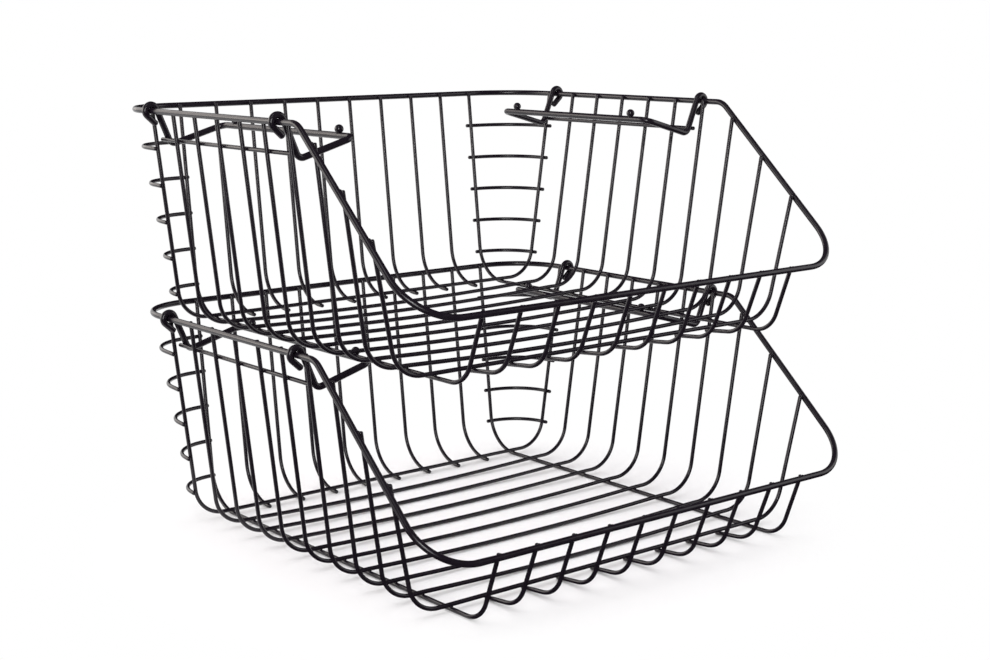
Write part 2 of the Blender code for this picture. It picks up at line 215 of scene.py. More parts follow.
class BracketSettings(bpy.types.PropertyGroup):
    """Shape of the swing-over brackets."""
    stop_drop: length("Stop Drop", "Rim down to the stop wire", 0.0215)
    stop_overhang: length("Stop Overhang", "How far a stop wire runs past the legs", 0.0002)
    span_wires: IntProperty(
        name="Hook Span", description="Cross wires from one hook to the other", default=6, min=1)
    rear_gap: length("Rear Hook Gap", "Rear hook to the cross wire behind it", 0.0012)
    front_gap: length("Front Hook Gap", "Front hook to the cross wire before it", 0.0029)
    tail: length("Hook Tail", "Straight tail at the end of a hook", 0.010)
    tail_angle: angle(
        "Tail Angle", "Where a hook's curve ends, from the inside round over the rim",
        math.radians(228))
    leg: length("Leg", "Hook down to the elbow", 0.0297)
    bar_drop: length("Bar Drop", "Rim down to the crossbar", 0.0128)
    bar_nest: length(
        "Bar Nesting", "Space between the crossbar and the tray that it locates", 0.0018)
    elbow_bend: length("Elbow Bend", "Radius of the elbows", 0.005)
    bar_bend: length("Bar Bend", "Radius of the crossbar's ends", 0.007)
    ball: length("Ball", "Diameter of a ball stud", 0.0064)
    ball_rise: length("Ball Rise", "Height of a ball's centre above the crossbar's", 0.0046)
    ball_neck: length("Ball Neck", "Diameter of a ball's neck", 0.0034)
    stud_rear_gap: length("Rear Stud Gap", "Rear ball to the cross wire above", 0.0066)
    stud_front_gap: length("Front Stud Gap", "Front ball to the cross wire above", 0.00095)


class CoatSettings(bpy.types.PropertyGroup):
    """Finish of every wire."""
    colour: paint("Colour", "Colour of the powder coat", (0.0090, 0.0060, 0.0106, 1.0))
    thin_colour: paint(
        "Thin Colour", "Colour where the coat lies thin", (0.0130, 0.0098, 0.0144, 1.0))
    roughness: FloatProperty(
        name="Roughness", description="Roughness of the satin surface",
        default=0.22, min=0.0, max=1.0, subtype="FACTOR")
    peel: length("Orange Peel", "Size of one bump of the coat", 0.0011)
    peel_height: FloatProperty(
        name="Peel Height", description="Height of the coat's bumps",
        default=0.0000015, precision=7, unit="LENGTH")
    cloud: length("Clouding", "Size of the patches where the coat is thicker", 0.012)


class StudioSettings(bpy.types.PropertyGroup):
    """Floor, lamps and camera."""
    floor_colour: paint(
        "Floor", "Colour of the paper that the trays stand on", (0.818, 0.807, 0.823, 1.0))
    ambient: strength("Room Light", "Strength of the light from all round", 0.90)
    top_power: power("Top Lamp", "Power of the soft lamp overhead", 18.0)
    side_power: power("Side Lamp", "Power of the soft lamp behind on the left", 8.0)
    back_power: power("Back Lamp", "Power of the soft lamp low behind the trays", 8.0)
    front_card: strength("Front Card", "Strength of the card that the rear wires reflect", 6.5)
    right_card: strength("Right Card", "Strength of the card that the rear rims reflect", 1.5)
    slope_power: power("Slope Lamp", "Power of the lamp that the sloping rims reflect", 1.6)
    front_power: power("Front Lamp", "Power of the small lamp by the camera", 1.6)
    camera_place: FloatVectorProperty(
        name="Camera", description="Place of the camera",
        default=(-0.7881, -0.99203, 0.389896), size=3, subtype="TRANSLATION", unit="LENGTH")
    camera_azimuth: angle(
        "Azimuth", "Turn of the camera from looking along +Y", math.radians(-38.941))
    camera_elevation: angle("Elevation", "How far the camera looks down", math.radians(10.642))
    camera_roll: angle("Roll", "Roll of the camera", math.radians(-0.241))
    lens: FloatProperty(
        name="Lens", description="Focal length of the camera", default=60.73, unit="CAMERA")


class TraySettings(bpy.types.PropertyGroup):
    """Everything that the panel shows."""
    wires: PointerProperty(type=WireSettings, name="Wires", description="Gauges of the wires")
    basket: PointerProperty(type=BasketSettings, name="Basket", description="Shape of one tray")
    brackets: PointerProperty(
        type=BracketSettings, name="Brackets", description="Shape of the brackets")
    coat: PointerProperty(type=CoatSettings, name="Coat", description="Finish of the wires")
    studio: PointerProperty(
        type=StudioSettings, name="Studio", description="Floor, lamps and camera")


class Bend:
    """One bend of a wire: where it starts, and how it turns about its centre."""

    def __init__(self, start, centre, axis, turn):
        self.start, self.centre, self.axis, self.turn = start, centre, axis, turn
        radius = (start - centre).length
        step = min(2 * math.acos(1 - CHORD_ERROR / radius), WIDEST_STEP)
        self.steps = max(FEWEST_STEPS, math.ceil(turn / step))
        self.end = self.points()[-1]

    def points(self):
        """Points along the bend's centre line."""
        arm = self.start - self.centre
        step = self.turn / self.steps
        return [self.centre + Matrix.Rotation(step * count, 3, self.axis) @ arm
                for count in range(self.steps + 1)]


def corner_bend(before, corner, after, radius):
    """The bend that rounds one corner of a route."""
    back = (before - corner).normalized()
    ahead = (after - corner).normalized()
    opening = back.angle(ahead)
    setback = radius / math.tan(opening / 2)
    centre = corner + (back + ahead).normalized() * (radius / math.sin(opening / 2))
    axis = ahead.cross(back).normalized()
    return Bend(corner + back * setback, centre, axis, math.pi - opening)


class Route:
    """The way of one wire: its two ends, and the bends between them."""

    def __init__(self, start, bends, stop, closed=False):
        self.start, self.bends, self.stop, self.closed = start, bends, stop, closed

    def line(self):
        """Points along the whole centre line."""
        middle = [point for bend in self.bends for point in bend.points()]
        return [self.start] + middle + [self.stop]


def rounded_route(corners, radii, closed=False):
    """The route through some corners, with a bend of its own radius at each."""
    if closed:
        start = stop = (corners[-1] + corners[0]) / 2
        round_trip = corners[-1:] + corners + corners[:1]
    else:
        start, stop = corners[0], corners[-1]
        round_trip = corners
    bends = [corner_bend(*three, radius)
             for *three, radius in zip(round_trip, round_trip[1:], round_trip[2:], radii)]
    return Route(start, bends, stop, closed)


class TrayPlan:
    """Places of one tray's wires, worked out from the sizes in the panel."""

    def __init__(self, settings, prefix):
        wires, basket, brackets = settings.wires, settings.basket, settings.brackets
        self.wires, self.basket, self.brackets = wires, basket, brackets
        self.prefix, self.seat = prefix, TRAYS[prefix]
        self.rim_half = basket.rim_width / 2
        self.lip_y = -(basket.rim_depth + STACK_STEP.y) / 2
        self.rear_y = self.lip_y + basket.rim_depth
        self.slope_y = self.lip_y + basket.slope_depth
        self.slope = math.atan2(basket.rim_height - basket.lip_height, basket.slope_depth)
        self.rim_seat = (wires.rim_wire + wires.mesh_wire) / 2
        self.floor_z = wires.mesh_wire / 2
        self.cross_z = self.floor_z + wires.mesh_wire
        self.floor_half = self.rim_half - basket.side_inset
        self.length_half = self.rim_half - basket.runner_inset
        self.length_pitch = 2 * self.length_half / (basket.length_count - 1)
        self.rear_cross_y = self.rear_y - basket.cross_rear_inset
        spread = basket.rim_depth - basket.cross_rear_inset - basket.cross_front_inset
        self.cross_pitch = spread / (basket.cross_count - 1)
        self.hook_radius = (wires.rim_wire + wires.bracket_wire) / 2 + wires.rest_gap
        reach = (wires.mesh_wire + wires.bracket_wire) / 2
        span = brackets.span_wires * self.cross_pitch
        self.rear_hook_y = self.rear_cross_y - reach - brackets.rear_gap
        self.front_hook_y = self.rear_cross_y - span + reach + brackets.front_gap
        self.bar_inset = basket.runner_inset + reach + brackets.bar_nest

    def route(self, corners, radii, closed=False):
        """A route in this tray's place in the stack."""
        return rounded_route([Vector(corner) + self.seat for corner in corners], radii, closed)

    def rim(self):
        """The closed rim, drawn anticlockwise from the rear left corner."""
        basket = self.basket
        half = [
            (-self.rim_half, self.rear_y, basket.rim_height),
            (-self.rim_half, self.slope_y, basket.rim_height),
            (-self.rim_half, self.lip_y, basket.lip_height),
        ]
        radii = [basket.rear_corner, basket.slope_bend, basket.front_corner]
        other = [(-x, y, z) for x, y, z in reversed(half)]
        return self.route(half + other, radii + radii[::-1], closed=True)

    def wall_top(self, foot, rim, tip):
        """Top end of a wall wire that passes the inner side of the rim, a tip above its centre."""
        reach = rim - foot
        straight = math.sqrt(reach.length_squared - self.rim_seat ** 2)
        inward = math.copysign(1, reach.x) * Vector((-reach.y, reach.x))
        along = (reach * straight + inward * self.rim_seat) / reach.length_squared
        return foot + along * ((rim.y + tip - foot.y) / along.y)

    def cross_wire(self, index):
        """One wire from side rim to side rim under the load, counted from the back."""
        basket = self.basket
        top_y = self.rear_cross_y - index * self.cross_pitch
        floor_y = top_y + basket.cross_lean
        sloped = basket.lip_height + (top_y - self.lip_y) * math.tan(self.slope)
        rim = Vector((self.rim_half, min(basket.rim_height, sloped)))
        foot = Vector((self.floor_half, self.cross_z))
        top = self.wall_top(foot, rim, self.wires.tip_rise)
        left = [(-top.x, top_y, top.y), (-foot.x, floor_y, foot.y)]
        radii = [basket.side_bend] * 2
        middle = []
        if 0 < index < basket.cross_count - 1:
            left.append((-self.length_half, floor_y, self.cross_z))
            middle = [(0, floor_y, self.cross_z - 2 * basket.cross_sag)]
            radii[1:1] = [basket.sag_bend, self.sag_radius(), basket.sag_bend]
        right = [(-x, y, z) for x, y, z in reversed(left)]
        return self.route(left + middle + right, radii)

    def sag_radius(self):
        """Radius of a sagging cross wire's shallow arc, which fills the space between runners."""
        steepness = math.atan2(2 * self.basket.cross_sag, self.length_half)
        return self.length_half / math.sin(steepness) - self.basket.sag_bend

    def inner_wires(self):
        """Numbers of the lengthwise wires between the runners, counted from the left."""
        return range(1, self.basket.length_count - 1)

    def length_x(self, index):
        """Place across the tray of one lengthwise wire."""
        return index * self.length_pitch - self.length_half

    def rear_wall(self, x):
        """Top end and floor corner of a lengthwise wire at the rear."""
        foot = Vector((self.rear_y - self.basket.rear_inset, self.floor_z))
        rim = Vector((self.rear_y, self.basket.rim_height))
        top = self.wall_top(foot, rim, self.wires.tip_rise)
        return [(x, *top), (x, *foot)]

    def front_wall(self, x, rise=0):
        """Floor corner and top end of a lengthwise wire at the lip."""
        foot = Vector((self.lip_y + self.basket.front_inset, self.floor_z + rise))
        rim = Vector((self.lip_y, self.basket.lip_height))
        top = self.wall_top(foot, rim, self.wires.tip_rise)
        return [(x, *foot), (x, *top)]

    def runner(self, side):
        """An outermost lengthwise wire, on which the tray stands."""
        x = side * self.length_half
        radii = [self.basket.rear_bend, self.basket.front_bend]
        return self.route(self.rear_wall(x) + self.front_wall(x), radii)

    def rear_wire(self, index):
        """A wire from the rear rim to just past the rearmost cross wire."""
        x = self.length_x(index)
        rearmost = self.rear_cross_y + self.basket.cross_lean
        end = (x, rearmost - self.wires.tip_overhang, self.floor_z)
        return self.route(self.rear_wall(x) + [end], [self.basket.rear_bend])

    def upright(self, index):
        """A wire from just behind the foremost cross wire to the lip."""
        x = self.length_x(index)
        foremost = self.lip_y + self.basket.cross_front_inset + self.basket.cross_lean
        end = (x, foremost + self.wires.tip_overhang, self.floor_z)
        wall = self.front_wall(x, self.basket.upright_rise)
        return self.route([end] + wall, [self.basket.front_bend])

    def corner_arc(self, side, index):
        """One level arc round a rear corner, from the runner to the rearmost cross wire."""
        basket, wires = self.basket, self.wires
        highest = basket.rim_height - basket.arc_top_drop
        drop = (highest - basket.arc_lowest) / (basket.arc_count - 1)
        height = self.seat.z + highest - index * drop
        at_runner, runner_lean = crossing(self.runner(side).line(), height)
        at_cross, cross_lean = crossing(self.cross_wire(0).line(), height)
        back_y = at_runner.y + (wires.mesh_wire - wires.arc_sink) / runner_lean
        side_x = side * (abs(at_cross.x) + wires.mesh_wire / cross_lean)
        inner = (at_runner.x - side * wires.tip_overhang, back_y, height)
        front = (side_x, at_cross.y - wires.tip_overhang, height)
        radius = min(basket.arc_bend, abs(side_x - at_runner.x), back_y - at_cross.y)
        corner = (side_x - side * basket.arc_draw_in, back_y - basket.arc_draw_in, height)
        return rounded_route([Vector(inner), Vector(corner), Vector(front)], [radius])

    def corner_arcs(self, side):
        """All arcs round one rear corner, from the highest down."""
        return [self.corner_arc(side, index) for index in range(self.basket.arc_count)]

    def stop_inset(self):
        """Distance of the stop wires inside the rim, on the wall wires' inner side."""
        foot = Vector((self.floor_half, self.cross_z))
        top = self.wall_top(foot, Vector((self.rim_half, self.basket.rim_height)), 0)
        wall = top - foot
        height = self.basket.rim_height - self.brackets.stop_drop
        wall_x = foot.x + wall.x * (height - foot.y) / wall.y
        return self.rim_half - wall_x + self.wires.mesh_wire * wall.length / wall.y

    def stop_wire(self, side):
        """The short wire inside a side wall on which the bracket's legs rest."""
        reach = self.wires.bracket_wire / 2 + self.brackets.stop_overhang
        x = side * (self.rim_half - self.stop_inset())
        z = self.basket.rim_height - self.brackets.stop_drop
        ends = [(x, self.rear_hook_y + reach, z), (x, self.front_hook_y - reach, z)]
        return self.route(ends, [])

    def leg_lean(self):
        """Lean of the legs from upright, where they rest against the stop wire."""
        stop = Vector((self.stop_inset(), self.brackets.stop_drop))
        rest = (self.wires.bracket_wire + self.wires.mesh_wire) / 2 + self.wires.rest_gap
        return math.acos((self.hook_radius - rest) / stop.length) - math.atan2(stop.y, stop.x)

    def bracket(self, side):
        """A bracket: tail, hook, leg, arm, crossbar, and the same again in reverse."""
        sizes, lean = self.brackets, self.leg_lean()
        hook_start, hook_end = [
            Vector((math.cos(way), math.sin(way))) * self.hook_radius
            for way in (sizes.tail_angle, lean)]
        tail_way = Vector((-math.sin(sizes.tail_angle), math.cos(sizes.tail_angle)))
        leg_way = Vector((math.sin(lean), -math.cos(lean)))
        tail = hook_start + tail_way * sizes.tail
        elbow = hook_end + leg_way * sizes.leg
        bar = Vector((self.bar_inset, -sizes.bar_drop))

        def place(point, y):
            """An (inset, height) point, measured from the rim, in the stack."""
            x = side * (self.rim_half - point.x)
            return Vector((x, y, self.basket.rim_height + point.y)) + self.seat

        rear, front = self.rear_hook_y, self.front_hook_y
        rim = Vector((0, 0))
        turn = sizes.tail_angle - lean
        across = Vector((0, side, 0))
        frame_corners = [place(hook_end, rear), place(elbow, rear), place(bar, rear),
                         place(bar, front), place(elbow, front), place(hook_end, front)]
        radii = [sizes.elbow_bend, sizes.bar_bend, sizes.bar_bend, sizes.elbow_bend]
        bends = [Bend(place(hook_start, rear), place(rim, rear), -across, turn)]
        bends += rounded_route(frame_corners, radii).bends
        bends.append(Bend(place(hook_end, front), place(rim, front), across, turn))
        return Route(place(tail, rear), bends, place(tail, front))

    def stud_places(self, side):
        """Centres of the crossbar under its two balls."""
        reach = (self.wires.mesh_wire + self.brackets.ball) / 2
        above = self.rear_cross_y + self.basket.cross_lean + STACK_STEP.y
        span = self.brackets.span_wires * self.cross_pitch
        rear = above - self.cross_pitch - reach - self.brackets.stud_rear_gap
        front = above - span + reach + self.brackets.stud_front_gap
        x = side * (self.rim_half - self.bar_inset)
        z = self.basket.rim_height - self.brackets.bar_drop
        return {place: Vector((x, y, z)) + self.seat
                for place, y in (("rear", rear), ("front", front))}


def crossing(line, height):
    """First point of a falling line at a height, and the cosine of its lean there."""
    for above, below in zip(line, line[1:]):
        if above.z >= height > below.z:
            share = (above.z - height) / (above.z - below.z)
            return above.lerp(below, share), (above.z - below.z) / (above - below).length
    raise ValueError("the line never falls to this height")


class Bender:
    """Feeds one wire out over a bench, straight or turning, and cuts it off."""

    def __init__(self, route, gauge, sides):
        self.bench = bmesh.new()
        self.gauge = gauge
        self.head = route.start
        ahead = (route.bends[0].start if route.bends else route.stop) - route.start
        facing = ahead.to_track_quat("Z", "Y").to_matrix().to_4x4()
        made = bmesh.ops.create_circle(
            self.bench, segments=sides, radius=gauge / 2,
            matrix=Matrix.Translation(route.start) @ facing)
        self.ring = self.ring_of(made["verts"])
        self.first = list(self.ring)

    @staticmethod
    def ring_of(geometry):
        """The edges that join some of a bench's vertices to each other."""
        verts = dict.fromkeys(item for item in geometry if isinstance(item, bmesh.types.BMVert))
        edges = dict.fromkeys(edge for vert in verts for edge in vert.link_edges)
        return [edge for edge in edges if all(vert in verts for vert in edge.verts)]

    def ring_verts(self):
        """The vertices of the wire's open end."""
        return list(dict.fromkeys(vert for edge in self.ring for vert in edge.verts))

    def feed(self, point):
        """Draws the wire on in a straight line."""
        grown = bmesh.ops.extrude_edge_only(self.bench, edges=self.ring)["geom"]
        verts = [item for item in grown if isinstance(item, bmesh.types.BMVert)]
        bmesh.ops.translate(self.bench, verts=verts, vec=point - self.head)
        self.ring = self.ring_of(verts)
        self.head = point

    def turn(self, bend):
        """Draws the wire round one bend."""
        turned = bmesh.ops.spin(
            self.bench, geom=self.ring_verts() + self.ring, cent=bend.centre, axis=bend.axis,
            angle=bend.turn, steps=bend.steps, use_duplicate=False)["geom_last"]
        self.ring = self.ring_of(turned)
        self.head = bend.end

    def cut(self, softness):
        """Closes both ends and softens their edges, as the coat does."""
        bmesh.ops.edgeloop_fill(self.bench, edges=self.first)
        bmesh.ops.edgeloop_fill(self.bench, edges=self.ring)
        bmesh.ops.bevel(
            self.bench, geom=self.first + self.ring, offset=self.gauge * softness,
            segments=END_SEGMENTS, profile=0.5, affect="EDGES", material=-1)

    def join(self):
        """Joins the two ends of a closed wire."""
        bmesh.ops.bridge_loops(self.bench, edges=self.first + self.ring)


def draw_wire(wires, route, gauge):
    """A bench with one wire, bent along its route."""
    bender = Bender(route, gauge, MESH_SIDES if gauge <= wires.mesh_wire else THICK_SIDES)
    for bend in route.bends:
        if (bend.start - bender.head).length > CHORD_ERROR:
            bender.feed(bend.start)
        bender.turn(bend)
    if route.closed:
        bender.join()
    else:
        bender.feed(route.stop)
        bender.cut(wires.end_softness)
    bmesh.ops.recalc_face_normals(bender.bench, faces=bender.bench.faces)
    return bender.bench


def add_object(name, data):
    """A new object in the scene."""
    made = bpy.data.objects.new(name, data)
    bpy.context.scene.collection.objects.link(made)
    return made


def finish_piece(name, benches, body, nodes=()):
    """Makes one coated piece of some benches, and hangs it on its body."""
    mesh = bpy.data.meshes.new(name)
    whole = bmesh.new()
    for bench in benches:
        if any(not edge.is_manifold for edge in bench.edges):
            raise RuntimeError(f"{name} is not closed")
        bench.to_mesh(mesh)
        bench.free()
        whole.from_mesh(mesh)
    whole.to_mesh(mesh)
    whole.free()
    mesh.shade_smooth()
    mesh.set_sharp_from_angle(angle=SHARP_ANGLE)
    mesh.materials.append(powder_coat(bpy.context.scene.wire_tray.coat))
    piece = add_object(name, mesh)
    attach(piece, body)
    if nodes:
        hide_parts(*nodes)


def lay_wires(plan, name, routes, node):
    """One piece of a tray, made of wall or floor wires, in the place of one node."""
    prefix, wires = plan.prefix, plan.wires
    benches = [draw_wire(wires, route, wires.mesh_wire) for route in routes]
    finish_piece(f"{prefix}_{name}", benches, f"{prefix}_tray", [f"{prefix}_{node}"])


def ball_bench(wires, sizes, foot):
    """A ball on its neck, turned on a lathe, with its neck's foot inside the crossbar."""
    bench = bmesh.new()
    centre = foot + UP * sizes.ball_rise
    radius, neck = sizes.ball / 2, sizes.ball_neck / 2
    turn = math.pi - math.asin(neck / radius)
    top = bmesh.ops.create_vert(bench, co=centre + UP * radius)["vert"]
    rim = bmesh.ops.spin(
        bench, geom=top, cent=centre, axis=(0, 1, 0), angle=turn, steps=BALL_RINGS,
        use_duplicate=False)["geom_last"]
    for out, height in NECK_PROFILE:
        grown = bmesh.ops.extrude_vert_indiv(
            bench, verts=[item for item in rim if isinstance(item, bmesh.types.BMVert)])
        rim = grown["verts"]
        target = foot + Vector((neck * out, 0, wires.bracket_wire / 2 * height))
        bmesh.ops.translate(bench, verts=rim, vec=target - rim[0].co)
    bmesh.ops.spin(
        bench, geom=bench.verts[:] + bench.edges[:], cent=foot, axis=UP, angle=math.tau,
        steps=BALL_SEGMENTS, use_merge=True, use_duplicate=False)
    bmesh.ops.remove_doubles(bench, verts=bench.verts, dist=MERGE_DISTANCE)
    bmesh.ops.holes_fill(bench, edges=[edge for edge in bench.edges if edge.is_boundary])
    bmesh.ops.recalc_face_normals(bench, faces=bench.faces)
    return bench


def clamp_to(point, start, stop):
    """A point of a line, moved to the nearer end where it lies beyond a segment."""
    way = stop - start
    share = (point - start).dot(way) / way.length_squared
    return start + way * min(1, max(0, share))


def crossings(first, second, reach):
    """Where two centre lines pass within reach: both points and both ways, nearest first."""
    found = []
    for start, stop in zip(first, first[1:]):
        for low, high in zip(second, second[1:]):
            if (start - low).length > (stop - start).length + (high - low).length + reach:
                continue
            met = intersect_line_line(start, stop, low, high)
            if met is None:
                continue
            here, there = clamp_to(met[0], start, stop), clamp_to(met[1], low, high)
            if (here - there).length <= reach:
                found.append(((here - there).length, here, there, stop - start, high - low))
    found.sort(key=lambda one: one[0])
    kept = []
    for one in found:
        if all((one[1] - other[1]).length > WELD_SPACING for other in kept):
            kept.append(one)
    return kept


def add_beads(bench, first, second):
    """Adds a bead wherever two wires, given as (line, gauge), are welded."""
    gauges = (first[1], second[1])
    reach = sum(gauges) / 2 * WELD_REACH
    for _, here, there, way, other_way in crossings(first[0], second[0], reach):
        through = (there - here).normalized()
        if way.dot(other_way) < 0:
            other_way = -other_way
        along = (way.normalized() + other_way.normalized()).normalized()
        across = through.cross(along).normalized()
        turned = Matrix((along, across, through)).transposed()
        size = min(gauges) * BEAD_SIZE
        shape = Matrix.Diagonal((size, size, size * BEAD_FLATNESS, 1))
        middle = here.lerp(there, gauges[0] / sum(gauges))
        bmesh.ops.create_uvsphere(
            bench, u_segments=BEAD_SEGMENTS, v_segments=BEAD_RINGS, radius=1,
            matrix=Matrix.Translation(middle) @ turned.to_4x4() @ shape)


class Field:
    """An output of a shader tree's node. Arithmetic on it adds Math nodes."""

    def __init__(self, tree, socket=None):
        self.tree, self.socket = tree, socket

    def node(self, kind, sockets=(), output=0, **settings):
        """Adds a node: its settings first, then the values or links of its sockets."""
        made = self.tree.nodes.new(kind)
        for name, value in settings.items():
            setattr(made, name, value)
        for name, value in dict(sockets).items():
            if isinstance(value, Field):
                self.tree.links.new(value.socket, made.inputs[name])
            else:
                made.inputs[name].default_value = value
        return Field(self.tree, made.outputs[output] if made.outputs else None)

    def maths(self, operation, first, second=0.0):
        """One Math node."""
        return self.node("ShaderNodeMath", {0: first, 1: second}, operation=operation)

    def __add__(self, other):
        return self.maths("ADD", self, other)

    def __sub__(self, other):
        return self.maths("SUBTRACT", self, other)

    def __rsub__(self, other):
        return self.maths("SUBTRACT", other, self)

    def __mul__(self, other):
        return self.maths("MULTIPLY", self, other)

    __radd__, __rmul__ = __add__, __mul__

    def blend(self, low, high):
        """A colour that goes from one to another as this number goes from 0 to 1."""
        return self.node(
            "ShaderNodeMix", {"Factor": self, 6: low, 7: high}, output=2, data_type="RGBA")

    def smooth(self, low, high):
        """This number between two limits, as a soft step from 0 to 1."""
        return self.node(
            "ShaderNodeMapRange", {"Value": self, "From Min": low, "From Max": high},
            interpolation_type="SMOOTHSTEP")


def new_material(name):
    """An empty node material, and its tree as a field."""
    material = bpy.data.materials.new(name)
    material.use_nodes = True
    material.node_tree.nodes.clear()
    return material, Field(material.node_tree)


def noise(field, place, size, detail):
    """Soft noise of about one bump per size."""
    return field.node("ShaderNodeTexNoise", {
        "Vector": place, "Scale": 1 / size, "Detail": detail, "Roughness": NOISE_ROUGHNESS})


def powder_coat(coat):
    """Satin black powder coat: orange peel, slight clouds of thinner coat and rougher patches."""
    name = "satin_black_powder_coat"
    if name in bpy.data.materials:
        return bpy.data.materials[name]
    material, field = new_material(name)
    place = field.node("ShaderNodeTexCoord", output="Object")
    clouds = noise(field, place, coat.cloud, CLOUD_DETAIL)
    peel = noise(field, place, coat.peel, PEEL_DETAIL)
    colour = clouds.smooth(*CLOUD_LIMITS).blend(coat.colour[:], coat.thin_colour[:])
    roughness = coat.roughness + (clouds - CLOUD_MEAN) * CLOUD_ROUGHNESS
    bump = field.node(
        "ShaderNodeBump", {"Height": peel, "Strength": 1.0, "Distance": coat.peel_height})
    shader = field.node(
        "ShaderNodeBsdfPrincipled",
        {"Base Color": colour, "Roughness": roughness, "Normal": bump, "IOR": COAT_IOR})
    field.node("ShaderNodeOutputMaterial", {"Surface": shader})
    return material


def seen_directly(field):
    """1 for rays from the camera, a mirror or glass, which see the white background."""
    camera, glossy, through = [
        field.node("ShaderNodeLightPath", output=f"Is {ray} Ray")
        for ray in ("Camera", "Glossy", "Transmission")]
    return 1 - (1 - camera) * (1 - glossy) * (1 - through)


def white_paper(studio):
    """Floor that shows white, and keeps the shadows near the trays."""
    material, field = new_material("white_paper")
    place = field.node("ShaderNodeTexCoord", output="Object")
    distance = field.node(
        "ShaderNodeVectorMath", {0: place}, output="Value", operation="LENGTH")
    white = seen_directly(field) * distance.smooth(*SHADOW_FADE)
    paper = field.node("ShaderNodeBsdfDiffuse", {"Color": studio.floor_colour[:]})
    glow = field.node("ShaderNodeEmission", {"Color": WHITE, "Strength": 1.0})
    shown = field.node("ShaderNodeMixShader", {0: white, 1: paper, 2: glow})
    field.node("ShaderNodeOutputMaterial", {"Surface": shown})
    return material


def white_room(studio):
    """World that shows white, and gives the room's even light."""
    world = bpy.data.worlds.new("white_room")
    world.use_nodes = True
    world.node_tree.nodes.clear()
    field = Field(world.node_tree)
    light = field.node("ShaderNodeBackground", {"Color": WHITE, "Strength": studio.ambient})
    white = field.node("ShaderNodeBackground", {"Color": WHITE, "Strength": 1.0})
    shown = field.node("ShaderNodeMixShader", {0: seen_directly(field), 1: light, 2: white})
    field.node("ShaderNodeOutputWorld", {"Surface": shown})
    bpy.context.scene.world = world


def card_material(name, shader, values):
    """The same plain shader all over a card."""
    material, field = new_material(name)
    field.node("ShaderNodeOutputMaterial", {"Surface": field.node(shader, values)})
    return material


def stage_piece(name, bench, material):
    """One piece of the stage, made of a bench."""
    mesh = bpy.data.meshes.new(name)
    bench.to_mesh(mesh)
    bench.free()
    mesh.materials.append(material)
    piece = add_object(name, mesh)
    return piece


def hide_card(card):
    """Leaves a card to be seen by reflections alone."""
    card.visible_camera = card.visible_diffuse = card.visible_shadow = False


class TrayOperator:
    """What the operators that make pieces share."""
    bl_options = {"REGISTER", "UNDO"}

    def execute(self, context):
        for prefix in TRAYS:
            self.make(TrayPlan(context.scene.wire_tray, prefix))
        return {"FINISHED"}


class WIRE_TRAY_OT_rims(TrayOperator, bpy.types.Operator):
    """Bend the closed rim of each tray"""
    bl_idname = "wire_tray.rims"
    bl_label = "Bend Rims"

    def make(self, plan):
        rim = f"{plan.prefix}_rim"
        bench = draw_wire(plan.wires, plan.rim(), plan.wires.rim_wire)
        finish_piece(f"{rim}_rod", [bench], f"{plan.prefix}_tray", [rim])


class WIRE_TRAY_OT_cross_wires(TrayOperator, bpy.types.Operator):
    """Bend the wires that run from side rim to side rim under the load"""
    bl_idname = "wire_tray.cross_wires"
    bl_label = "Bend Cross Wires"

    def make(self, plan):
        last = plan.basket.cross_count
        for number in range(1, last + 1):
            node = f"cross_wire_{number}" if number < last else "front_comb"
            lay_wires(plan, f"cross_rod_{number}", [plan.cross_wire(number - 1)], node)


class WIRE_TRAY_OT_uprights(TrayOperator, bpy.types.Operator):
    """Bend the uprights of each tray's low front"""
    bl_idname = "wire_tray.uprights"
    bl_label = "Bend Front Uprights"

    def make(self, plan):
        routes = [plan.upright(index) for index in plan.inner_wires()]
        lay_wires(plan, "front_upright_rods", routes, "front_comb")


class WIRE_TRAY_OT_runners(TrayOperator, bpy.types.Operator):
    """Bend the two outermost lengthwise wires, on which a tray stands"""
    bl_idname = "wire_tray.runners"
    bl_label = "Bend Runners"

    def make(self, plan):
        for word, side in SIDES.items():
            lay_wires(plan, f"{word}_runner_rod", [plan.runner(side)], f"{word}_runner")


class WIRE_TRAY_OT_corner_arcs(TrayOperator, bpy.types.Operator):
    """Bend the level arcs that close the rear corners"""
    bl_idname = "wire_tray.corner_arcs"
    bl_label = "Bend Corner Arcs"

    def make(self, plan):
        for word, side in SIDES.items():
            lay_wires(plan, f"{word}_corner_rods", plan.corner_arcs(side), f"{word}_runner")


class WIRE_TRAY_OT_rear_wires(TrayOperator, bpy.types.Operator):
    """Bend the wires of each tray's rear wall"""
    bl_idname = "wire_tray.rear_wires"
    bl_label = "Bend Rear Wires"

    def make(self, plan):
        for index in plan.inner_wires():
            lay_wires(plan, f"rear_rod_{index}", [plan.rear_wire(index)], f"rear_wire_{index}")


class WIRE_TRAY_OT_stop_wires(TrayOperator, bpy.types.Operator):
    """Cut the short wires on which the brackets' legs rest"""
    bl_idname = "wire_tray.stop_wires"
    bl_label = "Cut Stop Wires"

    def make(self, plan):
        for word, side in SIDES.items():
            lay_wires(plan, f"{word}_stop_rod", [plan.stop_wire(side)], f"{word}_stop_wire")


class WIRE_TRAY_OT_brackets(TrayOperator, bpy.types.Operator):
    """Bend the swing-over brackets that carry the tray above"""
    bl_idname = "wire_tray.brackets"
    bl_label = "Bend Brackets"

    def make(self, plan):
        for word, side in SIDES.items():
            bail = f"{plan.prefix}_{word}_bail"
            bench = draw_wire(plan.wires, plan.bracket(side), plan.wires.bracket_wire)
            finish_piece(f"{bail}_rod", [bench], bail, [bail])


